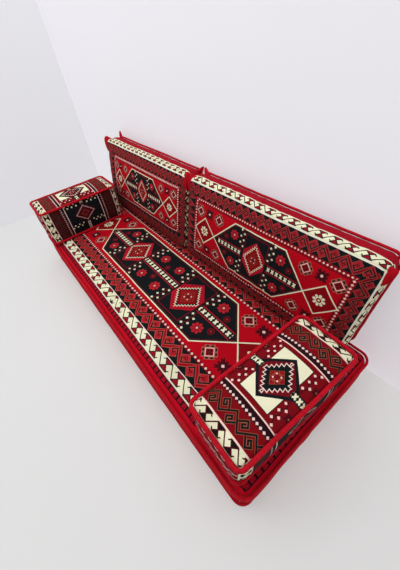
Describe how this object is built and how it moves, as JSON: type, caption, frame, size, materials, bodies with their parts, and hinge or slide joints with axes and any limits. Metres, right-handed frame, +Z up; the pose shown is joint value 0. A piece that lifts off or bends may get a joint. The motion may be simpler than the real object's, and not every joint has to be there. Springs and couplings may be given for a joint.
{
  "type": "floor sofa set",
  "caption": "Low floor sofa: a long seat mattress with loose arm bolsters and leaning back cushions, in red kilim covers with corded piping and zips.",
  "frame": {"origin": "centre of the bounding box's base, on the floor", "axes": "+X along the sofa to the right of someone facing it, +Y from the open front to the wall behind, +Z up"},
  "size_m": [1.916, 0.7926, 0.6589],
  "materials": {
    "foam": "matte",
    "kilim_cloth": "matte",
    "red_cloth": "matte",
    "lining_cloth": "matte",
    "piping_cloth": "matte",
    "zip_tape": "matte",
    "zip_metal": "satin"
  },
  "bodies": {
    "seat": {"seat_foam_core": "foam", "seat_top_panel": "kilim_cloth", "seat_side_band": "red_cloth", "seat_bottom_panel": "lining_cloth", "seat_upper_piping": "piping_cloth", "seat_lower_piping": "piping_cloth", "seat_zip_tape": "zip_tape"},
    "seat_zip_slider": {"seat_zip_slider": "zip_metal"},
    "seat_zip_pull_tab": {"seat_zip_pull_tab": "zip_metal"},
    "left_arm": {"left_arm_foam_core": "foam", "left_arm_top_panel": "kilim_cloth", "left_arm_side_band": "kilim_cloth", "left_arm_bottom_panel": "lining_cloth", "left_arm_upper_piping": "piping_cloth", "left_arm_lower_piping": "piping_cloth", "left_arm_zip_tape": "zip_tape"},
    "left_arm_zip_slider": {"left_arm_zip_slider": "zip_metal"},
    "left_arm_zip_pull_tab": {"left_arm_zip_pull_tab": "zip_metal"},
    "right_arm": {"right_arm_foam_core": "foam", "right_arm_top_panel": "kilim_cloth", "right_arm_side_band": "kilim_cloth", "right_arm_bottom_panel": "lining_cloth", "right_arm_upper_piping": "piping_cloth", "right_arm_lower_piping": "piping_cloth", "right_arm_zip_tape": "zip_tape"},
    "right_arm_zip_slider": {"right_arm_zip_slider": "zip_metal"},
    "right_arm_zip_pull_tab": {"right_arm_zip_pull_tab": "zip_metal"},
    "left_back": {"left_back_foam_core": "foam", "left_back_front_cover": "kilim_cloth", "left_back_rear_panel": "lining_cloth", "left_back_rear_piping": "piping_cloth", "left_back_zip_tape": "zip_tape"},
    "left_back_zip_slider": {"left_back_zip_slider": "zip_metal"},
    "left_back_zip_pull_tab": {"left_back_zip_pull_tab": "zip_metal"},
    "right_back": {"right_back_foam_core": "foam", "right_back_front_cover": "kilim_cloth", "right_back_rear_panel": "lining_cloth", "right_back_rear_piping": "piping_cloth", "right_back_zip_tape": "zip_tape"},
    "right_back_zip_slider": {"right_back_zip_slider": "zip_metal"},
    "right_back_zip_pull_tab": {"right_back_zip_pull_tab": "zip_metal"}
  },
  "joints": [
    {"name": "left_arm_push", "type": "slide", "parent": "seat", "child": "left_arm", "axis": [1, 0, 0], "range_m": [0, 0.6]},
    {"name": "right_arm_push", "type": "slide", "parent": "seat", "child": "right_arm", "axis": [-1, 0, 0], "range_m": [0, 0.6]},
    {"name": "left_back_tip", "type": "hinge", "parent": "seat", "child": "left_back", "pos_m": [-0.51051, 0.1602, 0.23178], "axis": [0.9995, 0.0314, 0], "range_deg": [0, 8]},
    {"name": "right_back_tip", "type": "hinge", "parent": "seat", "child": "right_back", "pos_m": [0.39804, 0.18876, 0.23178], "axis": [0.9995, 0.0314, 0], "range_deg": [0, 8]},
    {"name": "seat_zip_run", "type": "slide", "parent": "seat", "child": "seat_zip_slider", "axis": [-1, 0, 0], "range_m": [0, 1.1804]},
    {"name": "seat_zip_tab_swing", "type": "hinge", "parent": "seat_zip_slider", "child": "seat_zip_pull_tab", "pos_m": [0.59847, 0.33357, 0.104], "axis": [0, 0, -1], "range_deg": [0, 160]},
    {"name": "left_arm_zip_run", "type": "slide", "parent": "left_arm", "child": "left_arm_zip_slider", "axis": [-1, 0, 0], "range_m": [0, 0.1084]},
    {"name": "left_arm_zip_tab_swing", "type": "hinge", "parent": "left_arm_zip_slider", "child": "left_arm_zip_pull_tab", "pos_m": [-0.76153, 0.11157, 0.3368], "axis": [0, 0, -1], "range_deg": [0, 160]},
    {"name": "right_arm_zip_run", "type": "slide", "parent": "right_arm", "child": "right_arm_zip_slider", "axis": [-0.999, 0.0436, 0], "range_m": [0, 0.1084]},
    {"name": "right_arm_zip_tab_swing", "type": "hinge", "parent": "right_arm_zip_slider", "child": "right_arm_zip_pull_tab", "pos_m": [0.88051, 0.12196, 0.3368], "axis": [0, 0, -1], "range_deg": [0, 160]},
    {"name": "left_back_zip_run", "type": "slide", "parent": "left_back", "child": "left_back_zip_slider", "axis": [-0.9995, -0.0314, 0], "range_m": [0, 0.6204]},
    {"name": "left_back_zip_tab_swing", "type": "hinge", "parent": "left_back_zip_slider", "child": "left_back_zip_pull_tab", "pos_m": [-0.20481, 0.30815, 0.3027], "axis": [0.006, -0.1907, -0.9816], "range_deg": [0, 160]},
    {"name": "right_back_zip_run", "type": "slide", "parent": "right_back", "child": "right_back_zip_slider", "axis": [-0.9995, -0.0314, 0], "range_m": [0, 0.6204]},
    {"name": "right_back_zip_tab_swing", "type": "hinge", "parent": "right_back_zip_slider", "child": "right_back_zip_pull_tab", "pos_m": [0.70374, 0.3367, 0.3027], "axis": [0.006, -0.1907, -0.9816], "range_deg": [0, 160]}
  ]
}
